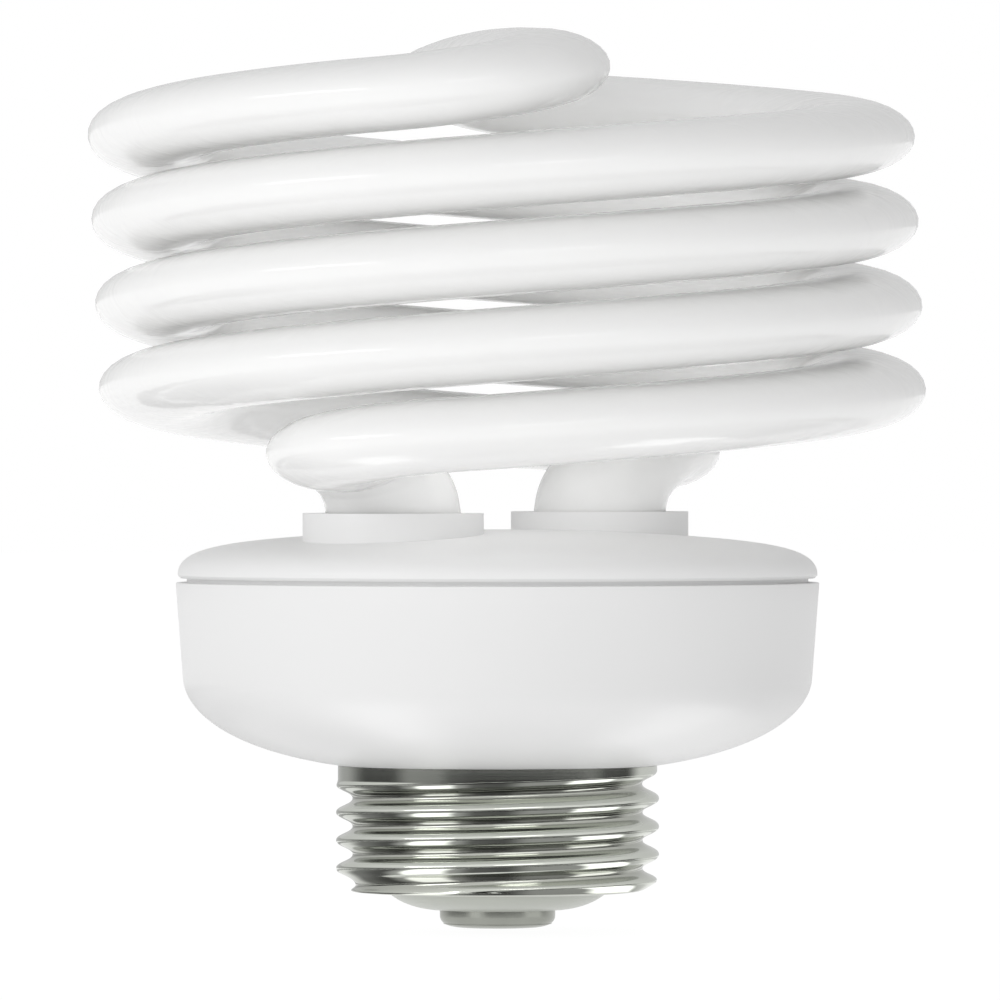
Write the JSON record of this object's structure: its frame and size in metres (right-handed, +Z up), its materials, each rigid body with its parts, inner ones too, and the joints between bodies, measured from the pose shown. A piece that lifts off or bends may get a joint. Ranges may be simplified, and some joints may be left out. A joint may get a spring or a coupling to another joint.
{
  "type": "spiral energy saving bulb",
  "caption": "Compact fluorescent bulb: a white double-wound spiral glass tube on a round white ballast housing with a bright screw cap below.",
  "frame": {"origin": "tip of the centre contact, on the screw cap's axis", "axes": "+Z up the cap's axis towards the coil, -Y the front as pictured, +X to its right"},
  "size_m": [0.0683, 0.0672, 0.0731],
  "materials": {
    "opal_glass": "glossy opal, white powder coat inside",
    "white_moulding": "satin moulded white",
    "rolled_shell": "bright nickel plate on rolled sheet brass",
    "cap_disc": "smooth moulded grey",
    "contact_cup": "drawn and tinned sheet",
    "leg_cement": "cured white cement",
    "board_laminate": "phenolic paper laminate",
    "tinned_wire": "tinned",
    "can_sleeve": "shrink sleeve",
    "ferrite": "pressed and fired",
    "winding_wire": "enamelled",
    "bobbin_moulding": "moulded",
    "film_coat": "dipped",
    "device_case": "moulded black",
    "resistor_coat": "cement coat"
  },
  "bodies": {
    "root": {"centre_contact": "contact_cup", "insulator": "cap_disc", "screw_shell": "rolled_shell", "lower_housing": "white_moulding", "top_cover": "white_moulding", "spiral_tube": "opal_glass", "tube_seal_front": "leg_cement", "tube_seal_back": "leg_cement", "circuit_board": "board_laminate", "lead_wire_1": "tinned_wire", "lead_wire_2": "tinned_wire", "lead_wire_3": "tinned_wire", "lead_wire_4": "tinned_wire", "electrolytic_capacitor": "can_sleeve", "choke_core": "ferrite", "choke_bobbin": "bobbin_moulding", "choke_winding": "winding_wire", "drive_ring": "ferrite", "drive_winding_1": "winding_wire", "drive_winding_2": "winding_wire", "drive_winding_3": "winding_wire", "inductor_core": "ferrite", "inductor_winding": "winding_wire", "film_capacitor_1": "film_coat", "film_capacitor_2": "film_coat", "transistor_1": "device_case", "transistor_2": "device_case", "diode_1": "device_case", "diode_2": "device_case", "diode_3": "device_case", "diode_4": "device_case", "contact_wire": "tinned_wire", "fuse_resistor": "resistor_coat", "shell_wire": "tinned_wire"}
  },
  "joints": []
}
